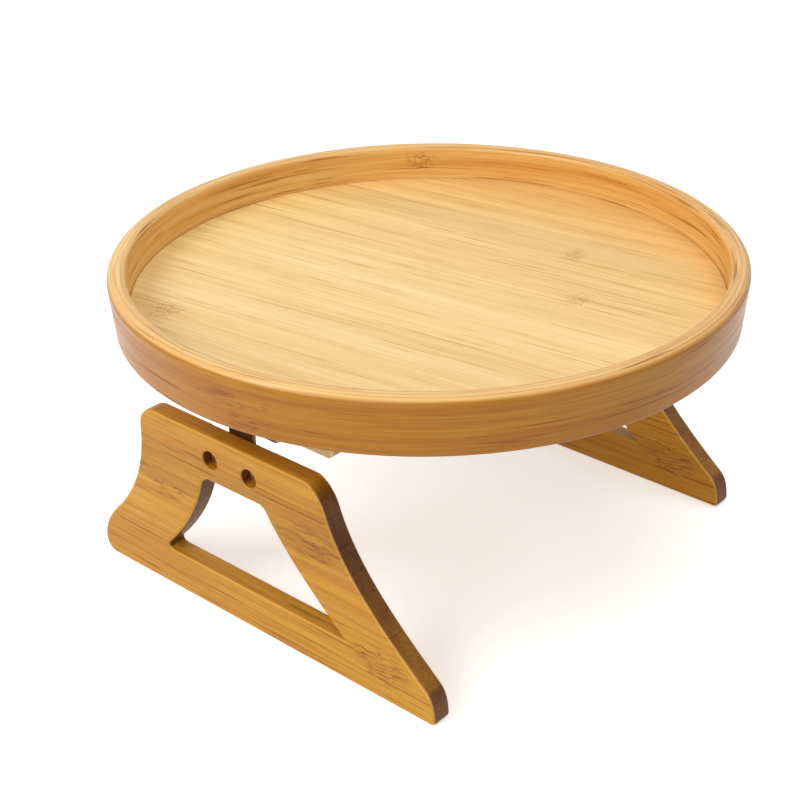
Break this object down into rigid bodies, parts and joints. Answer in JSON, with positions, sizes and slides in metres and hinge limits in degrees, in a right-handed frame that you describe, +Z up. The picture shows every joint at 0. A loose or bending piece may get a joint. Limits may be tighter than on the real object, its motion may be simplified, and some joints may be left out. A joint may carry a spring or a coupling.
{
  "type": "sofa arm tray",
  "caption": "Round bamboo tray with a raised rim that straddles a sofa arm on folding legs hinged to a base board.",
  "frame": {"origin": "centre of the tray, projected onto the surface that the feet stand on", "axes": "+Z up; X along the hinge pins, +X towards the longer reach of the feet; the near leg is at -Y and the far leg at +Y"},
  "size_m": [0.25, 0.25, 0.13],
  "materials": {
    "bamboo_rim": "satin",
    "bamboo_floor": "satin",
    "bamboo_leg": "satin",
    "bamboo_board": "satin",
    "hinge_steel": "satin",
    "pin_steel": "satin",
    "screw_steel": "satin",
    "bolt_bronze": "satin"
  },
  "bodies": {
    "tray": {"rim_hoop": "bamboo_rim", "floor_panel": "bamboo_floor", "base_board": "bamboo_board", "board_screw_1": "screw_steel", "board_screw_2": "screw_steel", "board_screw_3": "screw_steel", "board_screw_4": "screw_steel", "near_board_leaf": "hinge_steel", "near_pin": "pin_steel", "near_leaf_screw_1": "screw_steel", "near_leaf_screw_2": "screw_steel", "near_leaf_screw_3": "screw_steel", "far_board_leaf": "hinge_steel", "far_pin": "pin_steel", "far_leaf_screw_1": "screw_steel", "far_leaf_screw_2": "screw_steel", "far_leaf_screw_3": "screw_steel"},
    "near_leg": {"near_leg": "bamboo_leg", "near_leg_leaf": "hinge_steel", "near_bolt_1": "bolt_bronze", "near_bolt_2": "bolt_bronze", "near_nut_1": "screw_steel", "near_nut_2": "screw_steel"},
    "far_leg": {"far_leg": "bamboo_leg", "far_leg_leaf": "hinge_steel", "far_bolt_1": "bolt_bronze", "far_bolt_2": "bolt_bronze", "far_nut_1": "screw_steel", "far_nut_2": "screw_steel"}
  },
  "joints": [
    {"name": "near_leg_fold", "type": "hinge", "parent": "tray", "child": "near_leg", "pos_m": [-0.0135, -0.0895, 0.086], "axis": [1, 0, 0], "range_deg": [-30, 90]},
    {"name": "far_leg_fold", "type": "hinge", "parent": "tray", "child": "far_leg", "pos_m": [-0.0135, 0.0895, 0.086], "axis": [-1, 0, 0], "range_deg": [-30, 90]}
  ]
}
